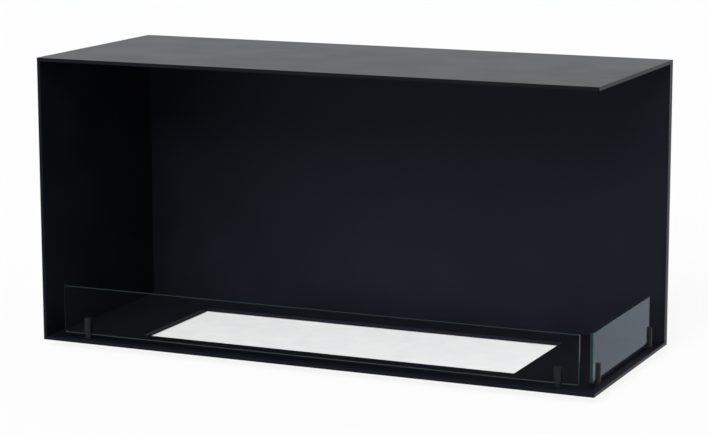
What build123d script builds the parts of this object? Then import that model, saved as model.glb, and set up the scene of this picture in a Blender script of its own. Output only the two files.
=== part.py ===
from build123d import *
import os

# Bioethanol firebox for a corner, in millimetres, +Z up. The front (-Y) and the right side (+X) are
# open. The origin is on the floor, under the middle of the casing. The casing is built as two skins
# of folded sheet steel with air between them. A shallow burner hangs in a cut-out of the deck, and
# two low glass panes stand in slotted posts along the open sides.

# Casing
casing_width = 1020.0
casing_depth = 400.0
casing_height = 500.0
casing_sheet = 1.5
skin_gap = 3.0
bend_radius = 1.0
liner_seam = 0.3
flange_height = 12.5
back_lip_depth = 16.0

# Strips that keep the two skins apart
spacer_width = 16.0
spacer_edge_gap = 20.0
top_spacer_count = 5
back_spacer_count = 5
left_spacer_count = 3

# Flush rivets that join the outer panels
rivet_radius = 1.6
rivet_head_radius = 3.3
rivet_head_depth = 1.0
rivet_tail_radius = 2.6
rivet_tail_height = 0.9
rivet_hole_clearance = 0.05
rivet_corner_gap = 45.0
depth_rivet_count = 4
height_rivet_count = 4
width_rivet_count = 8

# Burner mouth in the deck, and the burner in it
mouth_length = 696.0
mouth_depth = 240.0
mouth_front_gap = 78.0
mouth_left_gap = 158.7
well_sheet = 1.2
well_depth = 11.0
well_flange = 15.0
well_rivet_offset = 8.0
well_rivet_head_radius = 3.0
well_rivet_head_height = 1.0
well_rivet_rounding = 0.8
well_length_rivet_count = 5
well_depth_rivet_count = 2
well_rivet_corner_gap = 40.0
tray_sheet = 1.0
tray_side_gap = 1.0
ceramic_side_gap = 0.3
ceramic_below_rim = 0.4

# Glass panes
glass_thickness = 5.0
glass_height = 84.0
glass_above_deck = 7.0
glass_upper_corner_radius = 1.2
glass_lower_corner_radius = 3.0
glass_arris = 0.5
front_glass_inset = 19.0
front_glass_left_gap = 34.5
front_glass_right_gap = 32.0
side_glass_inset = 16.6
side_glass_front_gap = 33.6
side_glass_rear_gap = 52.0

# Posts that hold the glass, their pads and screws
post_radius = 7.25
post_height = 36.5
post_chamfer = 0.5
post_thread_depth = 4.6
front_left_overhang = 45.8
front_right_overhang = 36.1
side_front_overhang = 26.1
side_rear_overhang = 7.6
slot_side_gap = 0.3
pad_thickness = 1.0
pad_length = 8.0
post_screw_radius = 2.0
post_screw_head_radius = 3.8
post_screw_head_height = 2.2
post_screw_rounding = 1.1
post_spacer_radius = 8.0

# Feet, their screws, and the clinch nuts of the base
foot_height = 13.0
foot_radius = 12.5
foot_chamfer = 1.0
foot_inset_x = 80.0
foot_inset_y = 75.0
foot_recess_radius = 6.0
foot_recess_depth = 6.0
foot_screw_head_radius = 4.6
foot_screw_head_height = 3.4
nut_bore_radius = 2.5
nut_shank_radius = 3.2
nut_body_radius = 4.6
fixing_inset_y = 130.0

# Gaps between pieces
rest_gap = 0.3
screw_clearance = 0.05
hole_clearance = 0.25

# How near an edge must lie to the place where it is looked for
edge_tolerance = 0.01

# Planes that the sizes above give
left = -casing_width / 2
right = casing_width / 2
front = -casing_depth / 2
rear = casing_depth / 2
base = foot_height
top = base + casing_height
wall = 2 * casing_sheet + skin_gap
inner_left = left + wall
inner_rear = rear - wall
deck_top = base + wall
ceiling = top - wall
liner_left = inner_left - casing_sheet
liner_right = right - casing_sheet - liner_seam
liner_front = front + casing_sheet + liner_seam
liner_rear = inner_rear + casing_sheet
mouth_x = (left + mouth_left_gap, left + mouth_left_gap + mouth_length)
mouth_y = (front + mouth_front_gap, front + mouth_front_gap + mouth_depth)
glass_bottom = deck_top + glass_above_deck
front_glass_y = front + front_glass_inset
front_glass_x = (left + front_glass_left_gap, right - front_glass_right_gap)
side_glass_x = right - side_glass_inset
side_glass_y = (front + side_glass_front_gap, rear - side_glass_rear_gap)
slot_width = glass_thickness + 2 * slot_side_gap
slot_floor = glass_bottom - rest_gap - pad_thickness
nut_height = skin_gap - rest_gap


def block(x_span, y_span, z_span):
    """A box between two values on each axis."""
    size = [span[1] - span[0] for span in (x_span, y_span, z_span)]
    corner = Pos(x_span[0], y_span[0], z_span[0])
    return corner * Box(*size, align=(Align.MIN, Align.MIN, Align.MIN))


def disc(x, y, z_span, radius):
    """An upright cylinder between two heights."""
    height = z_span[1] - z_span[0]
    return Pos(x, y, z_span[0]) * Cylinder(radius, height, align=(Align.CENTER, Align.CENTER, Align.MIN))


def spread(low, high, count):
    """Evenly spaced places from low to high, both included."""
    if count == 1:
        return [(low + high) / 2]
    step = (high - low) / (count - 1)
    return [low + step * place for place in range(count)]


def outer_bend(solid, across_x, across_y, across_z):
    """Rounds the outer edge of a fold: the one edge through two given planes, None where it runs."""
    planes = (across_x, across_y, across_z)
    along = (Axis.X, Axis.Y, Axis.Z)[planes.index(None)]
    edges = solid.edges().filter_by(along)
    for axis, place in zip((Axis.X, Axis.Y, Axis.Z), planes):
        if place is not None:
            edges = edges.filter_by_position(axis, place - edge_tolerance, place + edge_tolerance)
    return fillet(edges, bend_radius)


def on_left_face(y, z, solid):
    """Turns a solid made along +Z so that it goes in through the left face at a place on it."""
    return Pos(left, y, z) * Rot(0, 90, 0) * solid


def on_back_face(x, z, solid):
    """Turns a solid made along +Z so that it goes in through the back face at a place on it."""
    return Pos(x, rear, z) * Rot(90, 0, 0) * solid


def flush_rivet(extra=0.0):
    """A countersunk rivet through two sheets, or with extra the hole that takes it."""
    length = 2 * casing_sheet
    shank_radius = rivet_radius + extra
    seat = (Align.CENTER, Align.CENTER, Align.MIN)
    head = Cone(rivet_head_radius + extra, shank_radius, rivet_head_depth, align=seat)
    rivet = head + disc(0, 0, (0, length), shank_radius)
    if extra == 0.0:
        rivet += disc(0, 0, (length, length + rivet_tail_height), rivet_tail_radius)
    return rivet


# Places of the rivets in the outer panels
flange_middle = (casing_sheet + flange_height) / 2
rivet_levels = (base + flange_middle, top - flange_middle)
depth_places = spread(front + rivet_corner_gap, rear - rivet_corner_gap, depth_rivet_count)
width_places = spread(left + rivet_corner_gap, right - rivet_corner_gap, width_rivet_count)
height_places = spread(base + rivet_corner_gap, top - rivet_corner_gap, height_rivet_count)
left_rivet_places = [(y, z) for z in rivet_levels for y in depth_places]
left_rivet_places += [(rear - flange_middle, z) for z in height_places]
back_rivet_places = [(x, z) for z in rivet_levels for x in width_places]
left_rivet_holes = [on_left_face(y, z, flush_rivet(rivet_hole_clearance)) for y, z in left_rivet_places]
back_rivet_holes = [on_back_face(x, z, flush_rivet(rivet_hole_clearance)) for x, z in back_rivet_places]

# Places of the posts, feet and fixing points
front_posts = (
    (front_glass_x[0] + front_left_overhang, front_glass_y),
    (front_glass_x[1] - front_right_overhang, front_glass_y),
)
side_posts = (
    (side_glass_x, side_glass_y[0] + side_front_overhang),
    (side_glass_x, side_glass_y[1] - side_rear_overhang),
)
post_places = (*front_posts, *side_posts)
foot_places = [
    (x, y)
    for x in (left + foot_inset_x, right - foot_inset_x)
    for y in (front + foot_inset_y, rear - foot_inset_y)
]
fixing_places = [
    (x, y)
    for x in (left + foot_inset_x, right - foot_inset_x)
    for y in (front + fixing_inset_y, rear - fixing_inset_y)
]


def well_rivet_places():
    """Places of the rivets round the burner mouth, outside its edge."""
    xs = spread(mouth_x[0] + well_rivet_corner_gap, mouth_x[1] - well_rivet_corner_gap, well_length_rivet_count)
    ys = spread(mouth_y[0] + well_rivet_corner_gap, mouth_y[1] - well_rivet_corner_gap, well_depth_rivet_count)
    long_sides = [(x, y) for x in xs for y in (mouth_y[0] - well_rivet_offset, mouth_y[1] + well_rivet_offset)]
    short_sides = [(x, y) for y in ys for x in (mouth_x[0] - well_rivet_offset, mouth_x[1] + well_rivet_offset)]
    return long_sides + short_sides


def make_left_panel():
    """Outer skin of the closed side, with its front edge turned in by one wall's thickness."""
    plate = block((left, left + casing_sheet), (front, rear), (base, top))
    turned_edge = block((left + casing_sheet, inner_left), (front, front + casing_sheet), (deck_top, ceiling))
    panel = outer_bend(plate + turned_edge, left, front, None)
    return panel - left_rivet_holes


def make_back_panel():
    """Outer skin of the back: right edge turned forward as a lip, left edge flanged along the left panel."""
    plate = block((left + casing_sheet, right), (rear - casing_sheet, rear), (base, top))
    lip = block((right - casing_sheet, right), (rear - back_lip_depth, rear - casing_sheet), (deck_top, ceiling))
    flange = block(
        (left + casing_sheet, left + 2 * casing_sheet),
        (rear - flange_height, rear - casing_sheet),
        (base + flange_height + liner_seam, top - flange_height - liner_seam),
    )
    panel = outer_bend(plate + lip + flange, right, rear, None)
    return panel - left_rivet_holes - back_rivet_holes


def make_horizontal_panel(outer_z, plate_z, edge_z, flange_z):
    """Outer skin of the base or the top: turned edges at the open sides, flanges at the closed ones."""
    plate = block((left + casing_sheet, right), (front, rear - casing_sheet), plate_z)
    front_edge = block((left + casing_sheet, right), (front, front + casing_sheet), edge_z)
    right_edge = block((right - casing_sheet, right), (front + casing_sheet, rear - casing_sheet), edge_z)
    left_flange = block(
        (left + casing_sheet, left + 2 * casing_sheet),
        (front + casing_sheet + liner_seam, rear - casing_sheet),
        flange_z,
    )
    back_flange = block(
        (left + casing_sheet, right - casing_sheet - liner_seam),
        (rear - 2 * casing_sheet, rear - casing_sheet),
        flange_z,
    )
    panel = plate + front_edge + right_edge + left_flange + back_flange
    panel = outer_bend(panel, None, front, outer_z)
    panel = outer_bend(panel, right, None, outer_z)
    return panel - left_rivet_holes - back_rivet_holes


def make_base_panel():
    """Outer skin of the base, with the burner mouth, and holes for rivets, post screws and nuts."""
    panel = make_horizontal_panel(
        base,
        (base, base + casing_sheet),
        (base + casing_sheet, deck_top),
        (base + casing_sheet, base + flange_height),
    )
    plate_z = (base, base + casing_sheet)
    panel -= block(mouth_x, mouth_y, plate_z)
    panel -= [disc(x, y, plate_z, rivet_radius + rivet_hole_clearance) for x, y in well_rivet_places()]
    panel -= [disc(x, y, plate_z, post_screw_radius + hole_clearance) for x, y in post_places]
    panel -= [disc(x, y, plate_z, nut_shank_radius + screw_clearance) for x, y in foot_places + fixing_places]
    return panel


def make_top_panel():
    """Outer skin of the top."""
    return make_horizontal_panel(
        top,
        (top - casing_sheet, top),
        (ceiling, top - casing_sheet),
        (top - flange_height, top - casing_sheet),
    )


def make_deck_plate():
    """Inner skin of the base, with a lip turned down round the burner mouth."""
    plate = block((liner_left, liner_right), (liner_front, liner_rear), (deck_top - casing_sheet, deck_top))
    lip = block(
        (mouth_x[0] - casing_sheet, mouth_x[1] + casing_sheet),
        (mouth_y[0] - casing_sheet, mouth_y[1] + casing_sheet),
        (base + casing_sheet, deck_top - casing_sheet),
    )
    plate = plate + lip - block(mouth_x, mouth_y, (base, deck_top))
    plate -= [disc(x, y, (base, deck_top), post_screw_radius + hole_clearance) for x, y in post_places]
    return plate


def make_top_liner():
    """Inner skin of the top, the ceiling of the fire chamber."""
    return block((liner_left, liner_right), (liner_front, liner_rear), (ceiling, ceiling + casing_sheet))


def make_left_liner():
    """Inner skin of the closed side."""
    return block((liner_left, inner_left), (liner_front, inner_rear), (deck_top, ceiling))


def make_back_liner():
    """Inner skin of the back."""
    return block((liner_left, liner_right), (inner_rear, liner_rear), (deck_top, ceiling))


def make_base_spacers():
    """Four strips between the skins of the base, clear of the burner well, the posts and the nuts."""
    z_span = (base + casing_sheet, deck_top - casing_sheet)
    half = spacer_width / 2
    front_y = (front_glass_y + post_spacer_radius + mouth_y[0] - well_flange) / 2
    rear_y = (mouth_y[1] + well_flange + liner_rear) / 2
    side_x = (right - foot_inset_x + nut_body_radius + side_glass_x - post_spacer_radius) / 2
    side_span = (front_y + half + liner_seam, rear_y - half - liner_seam)
    long_span = (-side_x - half, side_x + half)
    strips = [block(long_span, (y - half, y + half), z_span) for y in (front_y, rear_y)]
    strips += [block((x - half, x + half), side_span, z_span) for x in (-side_x, side_x)]
    return Compound(children=strips)


def make_top_spacers():
    """Strips between the skins of the top, front to back."""
    first = left + flange_height + spacer_edge_gap
    last = right - flange_height - spacer_edge_gap
    y_span = (front + spacer_edge_gap, rear - spacer_edge_gap)
    z_span = (ceiling + casing_sheet, top - casing_sheet)
    half = spacer_width / 2
    strips = [block((x - half, x + half), y_span, z_span) for x in spread(first, last, top_spacer_count)]
    return Compound(children=strips)


def make_back_spacers():
    """Upright strips between the skins of the back."""
    first = left + flange_height + spacer_edge_gap
    last = right - flange_height - spacer_edge_gap
    y_span = (liner_rear, rear - casing_sheet)
    z_span = (base + spacer_edge_gap, top - spacer_edge_gap)
    half = spacer_width / 2
    strips = [block((x - half, x + half), y_span, z_span) for x in spread(first, last, back_spacer_count)]
    return Compound(children=strips)


def make_left_spacers():
    """Upright strips between the skins of the closed side."""
    first = front + flange_height + spacer_edge_gap
    last = rear - flange_height - spacer_edge_gap
    x_span = (left + casing_sheet, liner_left)
    z_span = (base + spacer_edge_gap, top - spacer_edge_gap)
    half = spacer_width / 2
    strips = [block(x_span, (y - half, y + half), z_span) for y in spread(first, last, left_spacer_count)]
    return Compound(children=strips)


def make_left_rivets():
    """Flush rivets in the left panel."""
    return Compound(children=[on_left_face(y, z, flush_rivet()) for y, z in left_rivet_places])


def make_back_rivets():
    """Flush rivets in the back panel."""
    return Compound(children=[on_back_face(x, z, flush_rivet()) for x, z in back_rivet_places])


def make_burner_well():
    """Folded pocket under the deck that carries the burner tray, with a flange under the base."""
    flange = block(
        (mouth_x[0] - well_flange, mouth_x[1] + well_flange),
        (mouth_y[0] - well_flange, mouth_y[1] + well_flange),
        (base - well_sheet, base),
    )
    pocket = block(
        (mouth_x[0] - well_sheet, mouth_x[1] + well_sheet),
        (mouth_y[0] - well_sheet, mouth_y[1] + well_sheet),
        (base - well_depth, base - well_sheet),
    )
    well = flange + pocket - block(mouth_x, mouth_y, (base - well_depth + well_sheet, base))
    flange_z = (base - well_sheet, base)
    well -= [disc(x, y, flange_z, rivet_radius + rivet_hole_clearance) for x, y in well_rivet_places()]
    return well


def make_well_rivets():
    """Dome rivets that hold the well's flange to the base panel."""
    flange_bottom = base - well_sheet
    panel_top = base + casing_sheet
    rivets = []
    for x, y in well_rivet_places():
        head = disc(x, y, (flange_bottom - well_rivet_head_height, flange_bottom), well_rivet_head_radius)
        head = fillet(head.edges().group_by(Axis.Z)[0], well_rivet_rounding)
        shank = disc(x, y, (flange_bottom, panel_top), rivet_radius)
        tail = disc(x, y, (panel_top, panel_top + rivet_tail_height), rivet_tail_radius)
        rivets.append(head + shank + tail)
    return Compound(children=rivets)


tray_x = (mouth_x[0] + tray_side_gap, mouth_x[1] - tray_side_gap)
tray_y = (mouth_y[0] + tray_side_gap, mouth_y[1] - tray_side_gap)
tray_bottom = base - well_depth + well_sheet + rest_gap
tray_rim = base


def make_burner_tray():
    """Open stainless fuel tray that lifts out of the well."""
    inside_x = (tray_x[0] + tray_sheet, tray_x[1] - tray_sheet)
    inside_y = (tray_y[0] + tray_sheet, tray_y[1] - tray_sheet)
    outside = block(tray_x, tray_y, (tray_bottom, tray_rim))
    return outside - block(inside_x, inside_y, (tray_bottom + tray_sheet, tray_rim))


def make_ceramic_pad():
    """White ceramic fibre block that soaks up the fuel and fills the tray."""
    inset = tray_sheet + ceramic_side_gap
    return block(
        (tray_x[0] + inset, tray_x[1] - inset),
        (tray_y[0] + inset, tray_y[1] - inset),
        (tray_bottom + tray_sheet + rest_gap, tray_rim - ceramic_below_rim),
    )


def glass_pane(length):
    """A pane lying along +X from the origin, rounded at its corners, with its edges eased."""
    pane = block((0, length), (-glass_thickness / 2, glass_thickness / 2), (0, glass_height))
    corners = pane.edges().filter_by(Axis.Y).group_by(Axis.Z)
    pane = fillet(corners[0], glass_lower_corner_radius)
    upper = pane.edges().filter_by(Axis.Y).group_by(Axis.Z)[-1]
    pane = fillet(upper, glass_upper_corner_radius)
    rims = pane.faces().filter_by(Axis.Y).edges()
    return chamfer(rims, glass_arris)


def make_front_glass():
    """Pane along the front, standing in two posts."""
    pane = glass_pane(front_glass_x[1] - front_glass_x[0])
    return Pos(front_glass_x[0], front_glass_y, glass_bottom) * pane


def make_side_glass():
    """Pane along the open side, standing in two posts."""
    pane = glass_pane(side_glass_y[1] - side_glass_y[0])
    return Pos(side_glass_x, side_glass_y[0], glass_bottom) * Rot(0, 0, 90) * pane


def make_post():
    """A turned post at the origin with a slot along X."""
    post = disc(0, 0, (deck_top, deck_top + post_height), post_radius)
    post = chamfer(post.edges().group_by(Axis.Z)[-1], post_chamfer)
    slot_z = (slot_floor, deck_top + post_height)
    post -= block((-post_radius, post_radius), (-slot_width / 2, slot_width / 2), slot_z)
    return post - disc(0, 0, (deck_top, deck_top + post_thread_depth), post_screw_radius + screw_clearance)


def make_pad():
    """Silicone pad on the floor of a post's slot."""
    half_length = pad_length / 2
    half_width = slot_width / 2 - screw_clearance
    z_span = (slot_floor, slot_floor + pad_thickness)
    return block((-half_length, half_length), (-half_width, half_width), z_span)


def stand(place, turn, solid):
    """Moves a post or its pad to its place on the deck, turned about its own axis."""
    return Pos(place[0], place[1], 0) * Rot(0, 0, turn) * solid


def make_post_spacers():
    """Round washers between the skins of the base, under the posts."""
    z_span = (base + casing_sheet, deck_top - casing_sheet)
    washers = []
    for x, y in post_places:
        hole = disc(x, y, z_span, post_screw_radius + hole_clearance)
        washers.append(disc(x, y, z_span, post_spacer_radius) - hole)
    return Compound(children=washers)


def make_post_screws():
    """Screws from under the base into the posts."""
    screws = []
    for x, y in post_places:
        head = disc(x, y, (base - post_screw_head_height, base), post_screw_head_radius)
        head = fillet(head.edges().group_by(Axis.Z)[0], post_screw_rounding)
        shank = disc(x, y, (base, deck_top + post_thread_depth - rest_gap), post_screw_radius)
        screws.append(head + shank)
    return Compound(children=screws)


def clinch_nut(x, y):
    """A nut pressed into the base panel from inside, open from below."""
    shank = disc(x, y, (base, base + casing_sheet), nut_shank_radius)
    body = disc(x, y, (base + casing_sheet, base + casing_sheet + nut_height), nut_body_radius)
    return shank + body - disc(x, y, (base, base + casing_sheet + nut_height), nut_bore_radius)


def make_nuts(places):
    """Clinch nuts at the places given."""
    return Compound(children=[clinch_nut(x, y) for x, y in places])


def make_foot(x, y):
    """A rubber foot with a recess for its screw."""
    foot = disc(x, y, (0, foot_height), foot_radius)
    foot = chamfer(foot.edges().group_by(Axis.Z)[0], foot_chamfer)
    foot -= disc(x, y, (0, foot_recess_depth), foot_recess_radius)
    return foot - disc(x, y, (0, foot_height), nut_bore_radius + hole_clearance)


def make_foot_screws():
    """Screws up through the feet into their clinch nuts."""
    shank_top = base + casing_sheet + nut_height - rest_gap
    screws = []
    for x, y in foot_places:
        head = disc(x, y, (foot_recess_depth - foot_screw_head_height, foot_recess_depth), foot_screw_head_radius)
        shank = disc(x, y, (foot_recess_depth, shank_top), nut_bore_radius - screw_clearance)
        screws.append(head + shank)
    return Compound(children=screws)


parts = {
    "base_panel": make_base_panel(),
    "deck_plate": make_deck_plate(),
    "left_panel": make_left_panel(),
    "left_liner": make_left_liner(),
    "back_panel": make_back_panel(),
    "back_liner": make_back_liner(),
    "top_panel": make_top_panel(),
    "top_liner": make_top_liner(),
    "base_spacers": make_base_spacers(),
    "left_spacers": make_left_spacers(),
    "back_spacers": make_back_spacers(),
    "top_spacers": make_top_spacers(),
    "left_rivets": make_left_rivets(),
    "back_rivets": make_back_rivets(),
    "burner_well": make_burner_well(),
    "well_rivets": make_well_rivets(),
    "burner_tray": make_burner_tray(),
    "ceramic_pad": make_ceramic_pad(),
    "front_glass": make_front_glass(),
    "side_glass": make_side_glass(),
    "post_spacers": make_post_spacers(),
    "post_screws": make_post_screws(),
    "foot_nuts": make_nuts(foot_places),
    "fixing_nuts": make_nuts(fixing_places),
    "foot_screws": make_foot_screws(),
}

# Each post with the turn of its slot
post_settings = {
    "front_left": (front_posts[0], 0),
    "front_right": (front_posts[1], 0),
    "side_front": (side_posts[0], 90),
    "side_rear": (side_posts[1], 90),
}
for post_name, (place, turn) in post_settings.items():
    parts[post_name + "_post"] = stand(place, turn, make_post())
    parts[post_name + "_glass_pad"] = stand(place, turn, make_pad())

foot_names = ("front_left", "rear_left", "front_right", "rear_right")
for foot_name, (x, y) in zip(foot_names, foot_places):
    parts[foot_name + "_foot"] = make_foot(x, y)

os.makedirs("parts", exist_ok=True)
for name, solid in parts.items():
    export_step(solid, f"parts/{name}.step")
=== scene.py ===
import math

import bmesh
import bpy
from mathutils import Matrix, Vector


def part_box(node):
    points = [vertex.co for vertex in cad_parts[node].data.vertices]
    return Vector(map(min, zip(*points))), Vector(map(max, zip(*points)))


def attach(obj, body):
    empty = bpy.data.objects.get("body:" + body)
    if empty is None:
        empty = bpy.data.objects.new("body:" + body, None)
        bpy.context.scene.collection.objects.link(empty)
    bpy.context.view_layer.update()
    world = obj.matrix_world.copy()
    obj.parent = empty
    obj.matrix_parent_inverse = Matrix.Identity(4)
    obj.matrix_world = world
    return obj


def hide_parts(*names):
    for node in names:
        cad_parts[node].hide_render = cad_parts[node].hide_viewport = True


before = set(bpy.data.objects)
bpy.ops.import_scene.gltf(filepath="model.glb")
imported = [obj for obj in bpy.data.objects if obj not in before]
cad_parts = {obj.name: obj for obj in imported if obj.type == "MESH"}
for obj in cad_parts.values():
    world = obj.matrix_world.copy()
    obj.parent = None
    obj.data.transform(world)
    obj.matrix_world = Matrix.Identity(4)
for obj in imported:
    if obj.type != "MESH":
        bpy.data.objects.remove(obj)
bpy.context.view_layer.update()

# Outer skins: the casing's base, left side, back and top, each folded from 1.5 mm steel sheet.
# They are powder coated satin black, which leaves a fine orange peel and a soft blue-black sheen.

noise_middle = (0.3, 0.7)


def start_finish(name, settings):
    """A material with plain settings. Gives it, its tree, its shader and the piece's own coordinates."""
    finish = bpy.data.materials.new(name)
    finish.use_nodes = True
    tree = finish.node_tree
    shader = tree.nodes["Principled BSDF"]
    for socket, value in settings.items():
        shader.inputs[socket].default_value = value
    places = tree.nodes.new("ShaderNodeTexCoord").outputs["Object"]
    return finish, tree, shader, places


def grain(tree, places, size_mm, detail=3.0):
    """Soft noise whose grains have about this size in mm along x, y and z."""
    mapping = tree.nodes.new("ShaderNodeMapping")
    mapping.inputs["Scale"].default_value = [1000 / size for size in size_mm]
    noise = tree.nodes.new("ShaderNodeTexNoise")
    noise.inputs["Scale"].default_value = 1.0
    noise.inputs["Detail"].default_value = detail
    tree.links.new(places, mapping.inputs["Vector"])
    tree.links.new(mapping.outputs["Vector"], noise.inputs["Vector"])
    return noise.outputs["Fac"]


def tint(tree, noise, shader, dark, pale, socket="Base Color"):
    """Colours the shader from dark to pale as a noise rises through its middle part."""
    ramp = tree.nodes.new("ShaderNodeValToRGB")
    for element, position, colour in zip(ramp.color_ramp.elements, noise_middle, (dark, pale)):
        element.position = position
        element.color = (*colour, 1)
    tree.links.new(noise, ramp.inputs["Fac"])
    tree.links.new(ramp.outputs["Color"], shader.inputs[socket])


def roughen(tree, noise, shader, low, high):
    """Spreads the shader's roughness from low to high over the middle part of a noise."""
    spreader = tree.nodes.new("ShaderNodeMapRange")
    spreader.inputs["From Min"].default_value = noise_middle[0]
    spreader.inputs["From Max"].default_value = noise_middle[1]
    spreader.inputs["To Min"].default_value = low
    spreader.inputs["To Max"].default_value = high
    tree.links.new(noise, spreader.inputs["Value"])
    tree.links.new(spreader.outputs["Result"], shader.inputs["Roughness"])


def press_in(tree, noise, shader, depth_mm):
    """Fine relief of that depth on the shader."""
    bump = tree.nodes.new("ShaderNodeBump")
    bump.inputs["Distance"].default_value = depth_mm / 1000
    tree.links.new(noise, bump.inputs["Height"])
    tree.links.new(bump.outputs["Normal"], shader.inputs["Normal"])


def coat_cad(finish, *node_names):
    """Gives CAD nodes, which keep their own meshes, this finish."""
    for node_name in node_names:
        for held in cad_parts[node_name].material_slots:
            held.material = finish


outer_coat, tree, shader, places = start_finish(
    "satin_black_powder_coat",
    {
        "Specular IOR Level": 0.06,
        "Specular Tint": (0.62, 0.72, 1.0, 1),
        "Sheen Weight": 0.045,
        "Sheen Roughness": 0.4,
        "Sheen Tint": (0.4, 0.6, 1.0, 1),
    },
)
flow = grain(tree, places, (90, 90, 90), detail=2.0)
orange_peel = grain(tree, places, (1.6, 1.6, 1.6), detail=1.5)
tint(tree, flow, shader, dark=(0.0038, 0.004, 0.0046), pale=(0.0052, 0.0055, 0.0062))
roughen(tree, flow, shader, low=0.36, high=0.4)
press_in(tree, orange_peel, shader, depth_mm=0.012)
coat_cad(outer_coat, "base_panel", "left_panel", "back_panel", "top_panel")

# Inner skins: the plain sheets that line the fire chamber, a few millimetres inside the outer ones.
# They have a matt heat-resistant black, sprayed and baked, with a fine dry texture.
# This coat is partly its own paint and partly painted shade: its colour is set darker than the outer
# coat's to darken the chamber.

chamber_coat_and_shade, tree, shader, places = start_finish(
    "heat_resistant_black_painted_shade",
    {"Specular IOR Level": 0.19, "Specular Tint": (0.64, 0.7, 1.0, 1)},
)
spray_drift = grain(tree, places, (120, 120, 120), detail=3.0)
dry_spray = grain(tree, places, (0.9, 0.9, 0.9), detail=2.0)
# Painted shade: this colour is kept darker than the outer coat's, so the chamber's walls and deck look
# darker.
tint(tree, spray_drift, shader, dark=(0.0014, 0.0016, 0.0024), pale=(0.0028, 0.0031, 0.0046))
roughen(tree, spray_drift, shader, low=0.5, high=0.56)
press_in(tree, dry_spray, shader, depth_mm=0.01)
coat_cad(chamber_coat_and_shade, "deck_plate", "left_liner", "back_liner", "top_liner")

# Spacer strips and post washers: galvanised steel between the two skins, spot welded to both.
# They stay as the CAD has them, because the skins hide them.

galvanised, tree, shader, places = start_finish("galvanised_strip", {"Metallic": 1.0})
spangle = grain(tree, places, (7, 7, 7), detail=4.0)
rolling = grain(tree, places, (1.2, 1.2, 1.2))
tint(tree, spangle, shader, dark=(0.46, 0.47, 0.49), pale=(0.62, 0.63, 0.65))
roughen(tree, spangle, shader, low=0.34, high=0.5)
press_in(tree, rolling, shader, depth_mm=0.01)
coat_cad(galvanised, "base_spacers", "left_spacers", "back_spacers", "top_spacers", "post_spacers")

# Flush rivets: steel rivets set in countersinks of the left and back panels, filed flat and coated.
# The coat is a touch glossier over them, so that each shows as a faint disc.

rivet_coat, tree, shader, places = start_finish("coated_rivet", {"Specular IOR Level": 0.35})
rubbed = grain(tree, places, (2.5, 2.5, 2.5))
tint(tree, rubbed, shader, dark=(0.007, 0.008, 0.014), pale=(0.014, 0.016, 0.022))
roughen(tree, rubbed, shader, low=0.34, high=0.46)
press_in(tree, rubbed, shader, depth_mm=0.01)
coat_cad(rivet_coat, "left_rivets", "back_rivets")

# Clinch nuts: zinc-plated steel nuts pressed into the base panel, for the feet and the fixing bolts.
# Their ends lie flush with the panel's underside. Bright zinc is bluish, with soft machining marks.

bright_zinc, tree, shader, places = start_finish("bright_zinc", {"Metallic": 1.0})
plating = grain(tree, places, (3, 3, 0.8))
tint(tree, plating, shader, dark=(0.5, 0.53, 0.57), pale=(0.68, 0.7, 0.73))
roughen(tree, plating, shader, low=0.22, high=0.36)
press_in(tree, plating, shader, depth_mm=0.01)
coat_cad(bright_zinc, "foot_nuts", "fixing_nuts")

# Burner well: a folded steel pocket under the deck, in the chamber's heat-resistant black with its
# painted shade.
# It keeps its CAD mesh. Its flange is held under the base by fourteen dome rivets.

coat_cad(chamber_coat_and_shade, "burner_well")

# Well rivets: blind rivets with a low dome, a drilled centre and the stub of the mandrel in it.
# Each is turned from the CAD rivet's own sizes, and the tail spreads above the base panel.
# The dome's corners are given by how far they lie in from the head's rim and down from the flange.

well_rivet_head_radius = 0.003
well_rivet_dome = ((0.0, 0.0), (0.0001, 0.00035), (0.0005, 0.0007), (0.0011, 0.0009), (0.0018, 0.001))
well_rivet_hole_radius = 0.0009
well_rivet_hole_easing = 0.0002
well_rivet_stub_depth = 0.0004
well_rivet_pin_radius = 0.0002
well_rivet_shank_radius = 0.0016
well_rivet_tail_radius = 0.0026
well_rivet_tail_height = 0.0009
well_rivet_tail_easing = (0.0006, 0.0004)
well_sheet = 0.0012
base_sheet = 0.0015
rivets_along = 5
rivet_to_flange_edge = 0.007
rivet_to_flange_corner = 0.055
same_place = 1e-6


def box_corners(node_name):
    """The lowest and highest corner of a CAD node."""
    low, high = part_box(node_name)
    return low.copy(), high.copy()


def turn_profile(form, profile, centre, steps, closed=True):
    """Turns a profile of (radius, height) corners about the upright line through centre."""
    corners = [form.verts.new((centre[0] + radius, centre[1], height)) for radius, height in profile]
    followers = corners[1:] + corners[:1] if closed else corners[1:]
    edges = [form.edges.new(pair) for pair in zip(corners, followers)]
    bmesh.ops.spin(
        form,
        geom=corners + edges,
        cent=(centre[0], centre[1], 0),
        axis=(0, 0, 1),
        angle=2 * math.pi,
        steps=steps,
        use_merge=True,
    )


def finish_piece(name, form, body, finishes, sharp_angle=35):
    """Makes the form a piece of the object, with its finishes, on the body that it moves with."""
    bmesh.ops.remove_doubles(form, verts=form.verts, dist=same_place)
    bmesh.ops.recalc_face_normals(form, faces=form.faces)
    mesh = bpy.data.meshes.new(name)
    form.to_mesh(mesh)
    form.free()
    for finish in finishes:
        mesh.materials.append(finish)
    mesh.shade_smooth()
    mesh.set_sharp_from_angle(angle=math.radians(sharp_angle))
    piece = bpy.data.objects.new(name, mesh)
    bpy.context.collection.objects.link(piece)
    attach(piece, body)
    return piece


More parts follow.
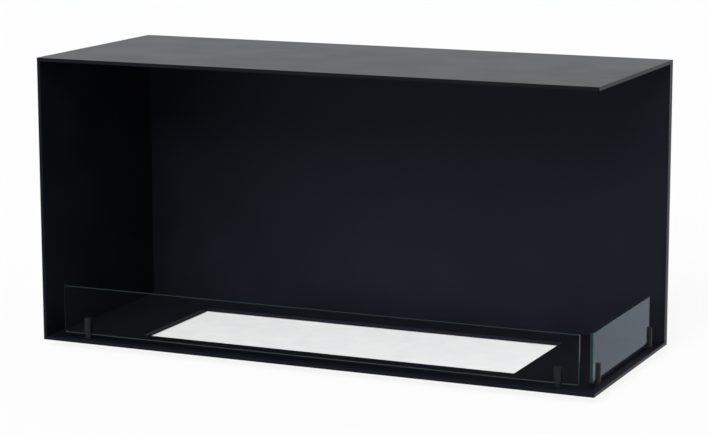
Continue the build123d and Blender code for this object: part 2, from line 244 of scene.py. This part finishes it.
base_low = box_corners("base_panel")[0].z
base_inside = base_low + base_sheet
well_low, well_high = box_corners("burner_well")
flange_low = well_high.z - well_sheet
dome_low = flange_low - well_rivet_dome[-1][1]
eased_low = flange_low - well_rivet_dome[-2][1]
stub_low = flange_low - well_rivet_stub_depth
tail_high = base_inside + well_rivet_tail_height
well_rivet_profile = [
    *((well_rivet_head_radius - inward, flange_low - down) for inward, down in well_rivet_dome),
    (well_rivet_hole_radius + well_rivet_hole_easing, dome_low),
    (well_rivet_hole_radius, eased_low),
    (well_rivet_hole_radius, stub_low),
    (well_rivet_pin_radius, stub_low),
    (well_rivet_pin_radius, tail_high),
    (well_rivet_tail_radius - well_rivet_tail_easing[0], tail_high),
    (well_rivet_tail_radius, base_inside + well_rivet_tail_easing[1]),
    (well_rivet_tail_radius, base_inside),
    (well_rivet_shank_radius, base_inside),
    (well_rivet_shank_radius, flange_low),
]
long_step = (well_high.x - well_low.x - 2 * rivet_to_flange_corner) / (rivets_along - 1)
long_xs = [well_low.x + rivet_to_flange_corner + long_step * i for i in range(rivets_along)]
long_ys = (well_low.y + rivet_to_flange_edge, well_high.y - rivet_to_flange_edge)
short_xs = (well_low.x + rivet_to_flange_edge, well_high.x - rivet_to_flange_edge)
short_ys = (well_low.y + rivet_to_flange_corner, well_high.y - rivet_to_flange_corner)
rivet_places = [(x, y) for x in long_xs for y in long_ys]
rivet_places += [(x, y) for y in short_ys for x in short_xs]

form = bmesh.new()
for place in rivet_places:
    turn_profile(form, well_rivet_profile, place, steps=16)
well_rivets = finish_piece("well_rivets_turned", form, "casing", [rivet_coat])
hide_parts("well_rivets")

# Burner tray: an open fuel tray of 1 mm stainless sheet, folded and welded at its corners.
# It drops into the well and lifts straight out. The sheet is brushed along its length.
# An edge or a face's normal counts as along an axis when nearly all of it lies that way.

side_to_side, front_to_back, upright = range(3)
tray_sheet = 0.001
tray_corner = 0.002
tray_fold = 0.0016
tray_rim_easing = 0.0003
sharp_turn = 1.0
nearly_all = 0.99


def box_form(low, high):
    """A bmesh box between two corners."""
    form = bmesh.new()
    bmesh.ops.create_cube(form, size=1.0)
    bmesh.ops.scale(form, vec=high - low, verts=form.verts)
    bmesh.ops.translate(form, vec=(high + low) / 2, verts=form.verts)
    return form


def edges_along(form, axis, test=None):
    """Edges that run along one axis, where test holds for their middle."""
    found = []
    for edge in form.edges:
        run = edge.verts[1].co - edge.verts[0].co
        middle = (edge.verts[1].co + edge.verts[0].co) / 2
        if abs(run[axis]) > nearly_all * run.length and (test is None or test(middle)):
            found.append(edge)
    return found


def edges_at(form, height):
    """Edges that lie level at a height."""
    return [e for e in form.edges if all(abs(v.co.z - height) < same_place for v in e.verts)]


def round_edges(form, edges, radius, segments):
    """Rounds edges to a radius."""
    bmesh.ops.bevel(
        form,
        geom=edges,
        offset=radius,
        offset_type="OFFSET",
        segments=segments,
        profile=0.5,
        affect="EDGES",
        material=-1,
        clamp_overlap=True,
    )


brushed_stainless, tree, shader, places = start_finish(
    "brushed_stainless",
    {"Metallic": 1.0, "Anisotropic": 0.4},
)
brushing = grain(tree, places, (60, 0.35, 0.35), detail=4.0)
heat_bloom = grain(tree, places, (70, 70, 70), detail=2.0)
tint(tree, heat_bloom, shader, dark=(0.5, 0.5, 0.49), pale=(0.62, 0.61, 0.6))
roughen(tree, brushing, shader, low=0.24, high=0.4)
press_in(tree, brushing, shader, depth_mm=0.015)

tray_low, tray_high = box_corners("burner_tray")
form = box_form(tray_low, tray_high)
round_edges(form, edges_along(form, upright), tray_corner, segments=5)
round_edges(form, edges_at(form, tray_low.z), tray_fold, segments=4)
lid = [f for f in form.faces if f.normal.z > nearly_all]
bmesh.ops.delete(form, geom=lid, context="FACES_ONLY")
bmesh.ops.recalc_face_normals(form, faces=form.faces)
bmesh.ops.solidify(form, geom=form.faces[:], thickness=tray_sheet)
rim = [e for e in edges_at(form, tray_high.z) if len(e.link_faces) == 2]
round_edges(form, [e for e in rim if e.calc_face_angle(0) > sharp_turn], tray_rim_easing, segments=2)
burner_tray = finish_piece(
    "burner_tray_folded", form, "burner", [brushed_stainless]
)
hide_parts("burner_tray")

# Ceramic pad: a white block of stiff ceramic fibre that fills the tray and soaks up the fuel.
# It is cut from board, so its edges are slightly eased and its face has short matted fibres.
# The face is a little uneven, in waves whose pace is given in radians per metre.

ceramic_edge = 0.0012
ceramic_corner = 0.0025
ceramic_mesh_step = 0.006
ceramic_unevenness = 0.00025
long_wave = 61
short_wave = 83
short_wave_slant = 17
rise_wave = 23


def reckon(tree, operation, *terms, clamp=False):
    """The result of a Math node on two terms, each a socket or a plain number."""
    node = tree.nodes.new("ShaderNodeMath")
    node.operation = operation
    node.use_clamp = clamp
    for entry, term in zip(node.inputs, terms):
        if isinstance(term, float):
            entry.default_value = term
        else:
            tree.links.new(term, entry)
    return node.outputs["Value"]


def cut_across(form, axis, distance):
    """Divides the faces of a form where a plane across one axis meets them."""
    across = Vector((0, 0, 0))
    across[axis] = 1
    everything = form.verts[:] + form.edges[:] + form.faces[:]
    bmesh.ops.bisect_plane(form, geom=everything, plane_co=across * distance, plane_no=across)


ceramic_fibre, tree, shader, places = start_finish(
    "ceramic_fibre_board",
    {"Roughness": 0.95, "Specular IOR Level": 0.15},
)
mat_clouds = grain(tree, places, (28, 28, 28), detail=4.0)
fibres_along = grain(tree, places, (4.5, 0.5, 0.5), detail=5.0)
fibres_across = grain(tree, places, (0.5, 4.5, 0.5), detail=5.0)
matted = reckon(tree, "MAXIMUM", fibres_along, fibres_across)
tint(tree, mat_clouds, shader, dark=(0.84, 0.845, 0.85), pale=(0.9, 0.9, 0.895))
press_in(tree, matted, shader, depth_mm=0.07)

pad_low, pad_high = box_corners("ceramic_pad")
form = box_form(pad_low, pad_high)
round_edges(form, edges_along(form, upright), ceramic_corner, segments=4)
round_edges(form, edges_at(form, pad_high.z), ceramic_edge, segments=3)
for axis in (side_to_side, front_to_back):
    reach = pad_high[axis] - pad_low[axis]
    for i in range(1, round(reach / ceramic_mesh_step)):
        cut_across(form, axis, pad_low[axis] + i * ceramic_mesh_step)
for vert in form.verts:
    if vert.co.z > pad_high.z - same_place:
        x, y = vert.co.xy
        wave = math.sin(x * long_wave) * math.sin(y * short_wave + x * short_wave_slant)
        wave += math.sin(x * rise_wave + 1)
        vert.co.z -= ceramic_unevenness * (2 - wave) / 4
ceramic_pad = finish_piece(
    "ceramic_fibre_pad", form, "pad", [ceramic_fibre], sharp_angle=50
)
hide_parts("ceramic_pad")

# Posts: turned steel bars 14.5 mm thick, milled with a slot for the glass and coated satin black.
# Each keeps its CAD mesh. Fine turning rings show under the coat.

post_names = ("front_left_post", "front_right_post", "side_front_post", "side_rear_post")

post_coat, tree, shader, places = start_finish("satin_black_post", {"Specular IOR Level": 0.15})
turning = grain(tree, places, (30, 30, 0.5), detail=2.0)
blotch = grain(tree, places, (9, 9, 9), detail=2.0)
tint(tree, blotch, shader, dark=(0.0022, 0.0029, 0.0042), pale=(0.0042, 0.005, 0.0068))
roughen(tree, blotch, shader, low=0.36, high=0.44)
press_in(tree, turning, shader, depth_mm=0.01)
coat_cad(post_coat, *post_names)

# Post screws: zinc-plated pan-head screws from under the base, with a six-sided socket.
# Their shanks end inside the posts, so only the heads show, from below.
# A pan head's corners lie at these shares of its radius and height, from its seat to its face.

pan_head = ((1.0, 0.0), (1.0, 0.45), (0.94, 0.72), (0.82, 0.92), (0.66, 1.0))
socket_depth_share = 0.6
socket_rim_share = 1.2
socket_search_share = 1.3
shank_end_share = 0.6
shank_end_taper = 0.0005
post_screw_head_radius = 0.0038
post_screw_head_height = 0.0022
post_screw_shank_radius = 0.002
post_screw_socket = 0.0014


def open_loop(form, height, centre, reach):
    """The open edges at a height, within reach of the upright line through centre."""
    return [
        e
        for e in edges_at(form, height)
        if e.is_boundary and (e.verts[0].co.xy - Vector(centre)).length < reach
    ]


def screw_form(form, centre, head_top, head_height, head_radius, shank_radius, shank_top, socket):
    """A screw that points up: rounded head below, plain shank above, six-sided socket in the head."""
    face = head_top - head_height
    profile = [
        (shank_radius * shank_end_share, shank_top),
        (shank_radius, shank_top - shank_end_taper),
        (shank_radius, head_top),
        *((head_radius * outward, head_top - head_height * down) for outward, down in pan_head),
        (socket * socket_rim_share, face),
    ]
    turn_profile(form, profile, centre, steps=24, closed=False)
    socket_place = Matrix.Translation((centre[0], centre[1], face))
    hexagon = bmesh.ops.create_circle(
        form, cap_ends=False, segments=6, radius=socket, matrix=socket_place
    )["verts"]
    hexagon_edges = [e for e in form.edges if all(v in hexagon for v in e.verts)]
    mouth = open_loop(form, face, centre, socket * socket_search_share)
    head_edges = [e for e in mouth if e not in hexagon_edges]
    bmesh.ops.bridge_loops(form, edges=hexagon_edges + head_edges)
    sunk = bmesh.ops.extrude_edge_only(form, edges=hexagon_edges)["geom"]
    sunk_verts = [g for g in sunk if isinstance(g, bmesh.types.BMVert)]
    sunk_edges = [g for g in sunk if isinstance(g, bmesh.types.BMEdge)]
    bmesh.ops.translate(form, vec=(0, 0, head_height * socket_depth_share), verts=sunk_verts)
    socket_floor = [e for e in sunk_edges if all(v in sunk_verts for v in e.verts)]
    bmesh.ops.contextual_create(form, geom=socket_floor)
    bmesh.ops.contextual_create(form, geom=open_loop(form, shank_top, centre, shank_radius))


def centres_of(*node_names):
    """The upright centre lines of round CAD nodes."""
    middles = [sum(box_corners(node_name), Vector()) / 2 for node_name in node_names]
    return [(middle.x, middle.y) for middle in middles]


form = bmesh.new()
for place in centres_of(*post_names):
    screw_form(
        form,
        place,
        head_top=base_low,
        head_height=post_screw_head_height,
        head_radius=post_screw_head_radius,
        shank_radius=post_screw_shank_radius,
        shank_top=box_corners("post_screws")[1].z,
        socket=post_screw_socket,
    )
post_screws = finish_piece(
    "post_screws_socketed", form, "casing", [bright_zinc]
)
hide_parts("post_screws")

# Glass pads: small strips of black silicone in the floors of the slots, which cushion the panes.
# They keep their CAD meshes. Silicone is matte, with a slightly greasy bloom.

silicone, tree, shader, places = start_finish("black_silicone", {"Specular IOR Level": 0.4})
bloom = grain(tree, places, (2, 2, 2))
tint(tree, bloom, shader, dark=(0.014, 0.014, 0.015), pale=(0.03, 0.03, 0.031))
roughen(tree, bloom, shader, low=0.55, high=0.75)
press_in(tree, bloom, shader, depth_mm=0.02)
coat_cad(silicone, "front_left_glass_pad", "front_right_glass_pad")
coat_cad(silicone, "side_front_glass_pad", "side_rear_glass_pad")

# Glass panes: 5 mm toughened float glass with polished edges and ground arrises. The front pane's
# bottom is only ground. The faces are clear, and mirror at a low angle. The edges are dark green.
# What a pane mirrors on both its faces is put on the face met first, so nothing shows double.

pane_upper_corner = 0.0012
pane_lower_corner = 0.003
pane_arris = 0.0005
mirrored_head_on = 0.002
mirrored_at_low_angle = 0.78
low_angle_power = 5.0
facing_down = -0.5
barely_any = 0.1


def inner_side(tree):
    """1 where a surface is seen from its inner side, else 0."""
    return tree.nodes.new("ShaderNodeNewGeometry").outputs["Backfacing"]


def blend_shaders(tree, share, first, second):
    """The first shader where share is 0, and the second where it is 1."""
    blender = tree.nodes.new("ShaderNodeMixShader")
    tree.links.new(share, blender.inputs["Fac"])
    tree.links.new(first, blender.inputs[1])
    tree.links.new(second, blender.inputs[2])
    return blender.outputs["Shader"]


def show_from_outside(tree, surface):
    """Keeps a finish on the outer side of a surface, and makes its inner side clear."""
    clear = tree.nodes.new("ShaderNodeBsdfTransparent").outputs["BSDF"]
    one_sided = blend_shaders(tree, inner_side(tree), surface, clear)
    tree.links.new(one_sided, tree.nodes["Material Output"].inputs["Surface"])


clear_face = bpy.data.materials.new("clear_float_glass")
clear_face.use_nodes = True
tree = clear_face.node_tree
tree.nodes.clear()
places = tree.nodes.new("ShaderNodeTexCoord").outputs["Object"]
film = grain(tree, places, (45, 45, 45))
see_through = tree.nodes.new("ShaderNodeBsdfTransparent")
tint(tree, film, see_through, dark=(0.978, 0.982, 0.981), pale=(0.984, 0.988, 0.987), socket="Color")
mirror = tree.nodes.new("ShaderNodeBsdfGlossy")
mirror.inputs["Color"].default_value = (0.76, 0.86, 1.0, 1)
roughen(tree, film, mirror, low=0.01, high=0.04)
view_angle = tree.nodes.new("ShaderNodeLayerWeight")
view_angle.inputs["Blend"].default_value = 0.5
low_angle = reckon(tree, "POWER", view_angle.outputs["Facing"], low_angle_power)
mirrored = tree.nodes.new("ShaderNodeMapRange")
mirrored.inputs["To Min"].default_value = mirrored_head_on
mirrored.inputs["To Max"].default_value = mirrored_at_low_angle
tree.links.new(low_angle, mirrored.inputs["Value"])
outer_side = reckon(tree, "SUBTRACT", 1.0, inner_side(tree))
outer_share = reckon(tree, "MULTIPLY", mirrored.outputs["Result"], outer_side)
glass_face = blend_shaders(tree, outer_share, see_through.outputs["BSDF"], mirror.outputs["BSDF"])
glass_out = tree.nodes.new("ShaderNodeOutputMaterial")
tree.links.new(glass_face, glass_out.inputs["Surface"])

polished_edge, tree, shader, places = start_finish("polished_glass_edge", {"Specular IOR Level": 0.16})
polish = grain(tree, places, (6, 6, 6))
tint(tree, polish, shader, dark=(0.0015, 0.014, 0.0135), pale=(0.003, 0.02, 0.019))
roughen(tree, polish, shader, low=0.06, high=0.12)
press_in(tree, polish, shader, depth_mm=0.005)
show_from_outside(tree, shader.outputs["BSDF"])

ground_arris, tree, shader, places = start_finish("ground_glass_arris", {"Specular IOR Level": 0.3})
grinding = grain(tree, places, (0.6, 0.6, 0.6))
tint(tree, grinding, shader, dark=(0.012, 0.02, 0.021), pale=(0.022, 0.033, 0.034))
roughen(tree, grinding, shader, low=0.3, high=0.45)
press_in(tree, grinding, shader, depth_mm=0.01)
show_from_outside(tree, shader.outputs["BSDF"])

ground_bottom, tree, shader, places = start_finish("ground_glass_bottom", {"Specular IOR Level": 0.5})
stone_marks = grain(tree, places, (1.5, 1.5, 0.4), detail=4.0)
tint(tree, stone_marks, shader, dark=(0.02, 0.028, 0.03), pale=(0.04, 0.05, 0.052))
roughen(tree, stone_marks, shader, low=0.3, high=0.5)
press_in(tree, stone_marks, shader, depth_mm=0.02)

face_slot, edge_slot, arris_slot, bottom_slot = range(4)


def pane_slot(normal, thin_axis):
    """Which of the pane's four finishes a face that looks this way has."""
    across = abs(normal[thin_axis])
    if across > nearly_all:
        return face_slot
    if normal.z < facing_down:
        return bottom_slot
    return edge_slot if across < barely_any else arris_slot


def make_pane(name, node_name, thin_axis, body, bottom):
    """A pane with round corners and eased arrises, in the place of its CAD node."""
    low, high = box_corners(node_name)
    middle = (low.z + high.z) / 2
    form = box_form(low, high)
    upper_edges = edges_along(form, thin_axis, lambda place: place.z > middle)
    round_edges(form, upper_edges, pane_upper_corner, segments=4)
    lower_edges = edges_along(form, thin_axis, lambda place: place.z < middle)
    round_edges(form, lower_edges, pane_lower_corner, segments=6)
    faces = [f for f in form.faces if pane_slot(f.normal, thin_axis) == face_slot]
    rims = [e for e in form.edges if any(f in faces for f in e.link_faces)]
    round_edges(form, rims, pane_arris, segments=3)
    for face in form.faces:
        face.material_index = pane_slot(face.normal, thin_axis)
    finishes = [clear_face, polished_edge, ground_arris, bottom]
    pane = finish_piece(name, form, body, finishes, sharp_angle=25)
    for face in pane.data.polygons:
        face.use_smooth = face.material_index != face_slot
    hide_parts(node_name)


make_pane("front_pane", "front_glass", front_to_back, "front_pane", ground_bottom)
make_pane("side_pane", "side_glass", side_to_side, "side_pane", polished_edge)

# Feet: moulded black rubber, slightly tapered, with a rounded lower edge and two grip rings.
# Each is bored for its screw, whose head sits up inside the foot.

foot_bore_radius = 0.00275
foot_recess_radius = 0.006
foot_recess_depth = 0.006
grip_ring_depth = 0.0005


def foot_profile(wide, height):
    """The foot's section, from its bore over its side and grip rings to its recess."""
    side = [(wide, height), (wide - 0.0001, height - 0.0004), (wide - 0.0007, 0.0014)]
    lower_edge = [(wide - 0.0009, 0.0007), (wide - 0.0013, 0.0002), (wide - 0.0018, 0.0)]
    outer_ring = [
        (wide - 0.0028, 0.0),
        (wide - 0.003, grip_ring_depth),
        (wide - 0.0036, grip_ring_depth),
        (wide - 0.0038, 0.0),
    ]
    inner_ring = [
        (wide - 0.0048, 0.0),
        (wide - 0.005, grip_ring_depth),
        (wide - 0.0056, grip_ring_depth),
        (wide - 0.0058, 0.0002),
    ]
    recess = [
        (foot_recess_radius, 0.0004),
        (foot_recess_radius, foot_recess_depth),
        (foot_bore_radius, foot_recess_depth),
    ]
    return [(foot_bore_radius, height), *side, *lower_edge, *outer_ring, *inner_ring, *recess]


moulded_rubber, tree, shader, places = start_finish("moulded_rubber", {"Specular IOR Level": 0.3})
mould_grain = grain(tree, places, (0.8, 0.8, 0.8))
scuff = grain(tree, places, (9, 9, 9), detail=4.0)
tint(tree, scuff, shader, dark=(0.012, 0.012, 0.013), pale=(0.026, 0.026, 0.027))
roughen(tree, scuff, shader, low=0.6, high=0.8)
press_in(tree, mould_grain, shader, depth_mm=0.03)

foot_names = ("front_left_foot", "rear_left_foot", "front_right_foot", "rear_right_foot")
for foot_name, place in zip(foot_names, centres_of(*foot_names)):
    foot_low, foot_high = box_corners(foot_name)
    form = bmesh.new()
    profile = foot_profile(wide=(foot_high.x - foot_low.x) / 2, height=foot_high.z)
    turn_profile(form, profile, place, steps=48)
    foot = finish_piece(foot_name + "_moulded", form, "casing", [moulded_rubber])
    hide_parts(foot_name)

# Foot screws: zinc-plated socket-head screws, up through the feet into their clinch nuts.
# Each head seats on the step inside its foot, out of sight from the side.

foot_screw_head_height = 0.0034
foot_screw_head_radius = 0.0046
foot_screw_shank_radius = 0.00245
foot_screw_socket = 0.0019

form = bmesh.new()
for place in centres_of(*foot_names):
    screw_form(
        form,
        place,
        head_top=foot_recess_depth,
        head_height=foot_screw_head_height,
        head_radius=foot_screw_head_radius,
        shank_radius=foot_screw_shank_radius,
        shank_top=box_corners("foot_screws")[1].z,
        socket=foot_screw_socket,
    )
foot_screws = finish_piece(
    "foot_screws_socketed", form, "casing", [bright_zinc]
)
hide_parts("foot_screws")

# Studio: a pale floor and surround, and one wide soft lamp in front of the fireplace.
# Camera, mirror and glass rays see floor and surround as the photograph's plain white.

studio_white = (0.99, 0.99, 0.99, 1)
room_colour = (0.96, 0.98, 1.0, 1)
room_strength = 0.45
floor_grey = (0.8, 0.8, 0.8, 1)
floor_white_share = 0.9
floor_radius = 40.0
lamp_direction = Vector((-0.06, 0.79, -0.6))
lamp_spread = math.radians(38)
lamp_strength = 4.1


def seen_rays(tree):
    """1 for rays that come from the camera, a mirror or glass, and 0 for the rest."""
    rays = tree.nodes.new("ShaderNodeLightPath").outputs
    seen_or_mirrored = reckon(tree, "ADD", rays["Is Camera Ray"], rays["Is Glossy Ray"], clamp=True)
    return reckon(tree, "ADD", seen_or_mirrored, rays["Is Transmission Ray"], clamp=True)


world = bpy.data.worlds.new("studio")
bpy.context.scene.world = world
world.use_nodes = True
tree = world.node_tree
room = tree.nodes["Background"]
room.inputs["Color"].default_value = room_colour
room.inputs["Strength"].default_value = room_strength
surround = tree.nodes.new("ShaderNodeBackground")
surround.inputs["Color"].default_value = studio_white
backdrop = blend_shaders(
    tree, seen_rays(tree), room.outputs["Background"], surround.outputs["Background"]
)
tree.links.new(backdrop, tree.nodes["World Output"].inputs["Surface"])

floor_paint, tree, shader, places = start_finish(
    "studio_floor",
    {"Roughness": 1.0, "Specular IOR Level": 0.0, "Base Color": floor_grey},
)
floor_glow = tree.nodes.new("ShaderNodeEmission")
floor_glow.inputs["Color"].default_value = studio_white
white_share = reckon(tree, "MULTIPLY", seen_rays(tree), floor_white_share)
floor_surface = blend_shaders(
    tree, white_share, shader.outputs["BSDF"], floor_glow.outputs["Emission"]
)
show_from_outside(tree, floor_surface)

form = bmesh.new()
bmesh.ops.create_circle(form, cap_ends=True, segments=64, radius=floor_radius)
floor_mesh = bpy.data.meshes.new("floor")
form.to_mesh(floor_mesh)
form.free()
floor_mesh.materials.append(floor_paint)
floor = bpy.data.objects.new("floor", floor_mesh)
bpy.context.collection.objects.link(floor)

softbox = bpy.data.lights.new("front_softbox", "SUN")
softbox.angle = lamp_spread
softbox.energy = lamp_strength
lamp_stand = bpy.data.objects.new("front_softbox", softbox)
bpy.context.collection.objects.link(lamp_stand)
lamp_stand.rotation_euler = lamp_direction.to_track_quat("-Z", "Y").to_euler()
lamp_stand.visible_camera = False

# Camera: placed by fitting the casing's seven visible corners in the photograph.
# It looks at aim from camera_distance away, turned to the right of the front and a little down.

photo_width = 708
focal_pixels = 2414.81
sensor_width = 36.0
turn_round = math.radians(24.009)
look_down = math.radians(10.4275)
tilt = math.radians(-0.1117)
aim = Vector((0.001294, 0, 0.236293))
camera_distance = 4.20103

lens = bpy.data.cameras.new("camera")
lens.sensor_width = sensor_width
lens.lens = focal_pixels / photo_width * sensor_width
camera = bpy.data.objects.new("camera", lens)
bpy.context.collection.objects.link(camera)
level_back = Vector((math.sin(turn_round), -math.cos(turn_round), 0))
back = level_back * math.cos(look_down) + Vector((0, 0, math.sin(look_down)))
level_right = Vector((0, 0, 1)).cross(back).normalized()
level_up = back.cross(level_right)
right = level_right * math.cos(tilt) + level_up * math.sin(tilt)
up = level_up * math.cos(tilt) - level_right * math.sin(tilt)
turned = Matrix((right, up, back)).transposed().to_4x4()
camera.matrix_world = Matrix.Translation(aim + back * camera_distance) @ turned
bpy.context.scene.camera = camera
bpy.context.scene.view_settings.view_transform = "Standard"
